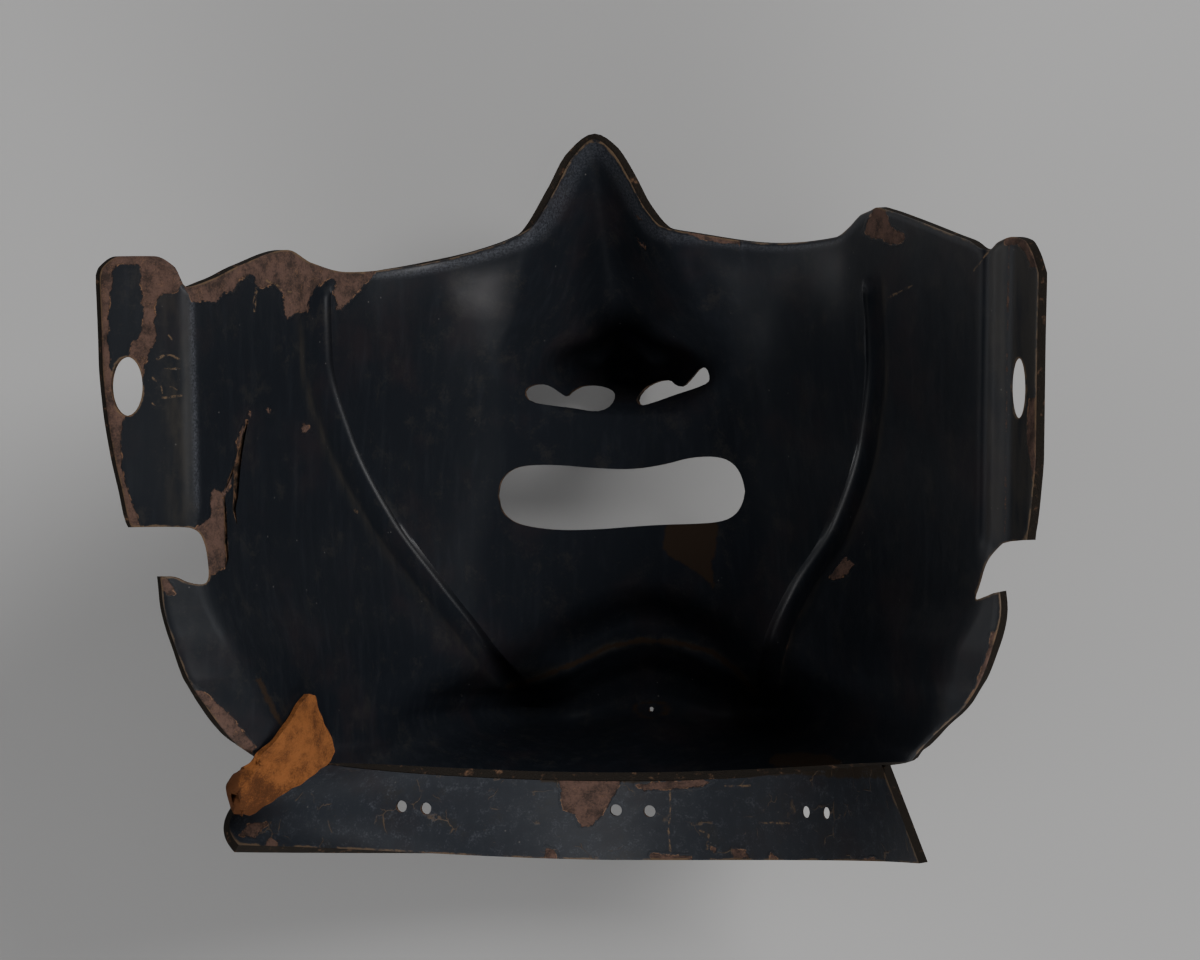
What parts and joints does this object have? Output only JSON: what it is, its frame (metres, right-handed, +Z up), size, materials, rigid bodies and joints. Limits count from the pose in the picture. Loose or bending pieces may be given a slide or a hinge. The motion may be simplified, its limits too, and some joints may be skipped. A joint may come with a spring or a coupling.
{
  "type": "samurai face guard (half mask with nose), lying on its face",
  "caption": "Lacquered rawhide half mask of a samurai armour, lying on its face: nose, mouth slot, ear flanges and a flared neck flange with lacing holes.",
  "frame": {"origin": "on the surface that the mask lies on, under the middle of its box", "axes": "+X across the face, towards the ear flange that shows on the right; +Y from the throat to the bridge of the nose; +Z up, out of the hollow"},
  "size_m": [0.181, 0.1458, 0.1139],
  "materials": {
    "black_lacquer": "thick black lacquer on moulded rawhide, satin, scratched and lifting, with mauve-brown ground at the losses",
    "neck_lacquer": "black lacquer on rawhide, crazed and flaking along the root and the edge",
    "tan_leather": "old orange-brown leather, matt and frayed"
  },
  "bodies": {
    "root": {"face_shell": "black_lacquer", "neck_flange": "neck_lacquer", "leather_tab": "tan_leather"}
  },
  "joints": []
}
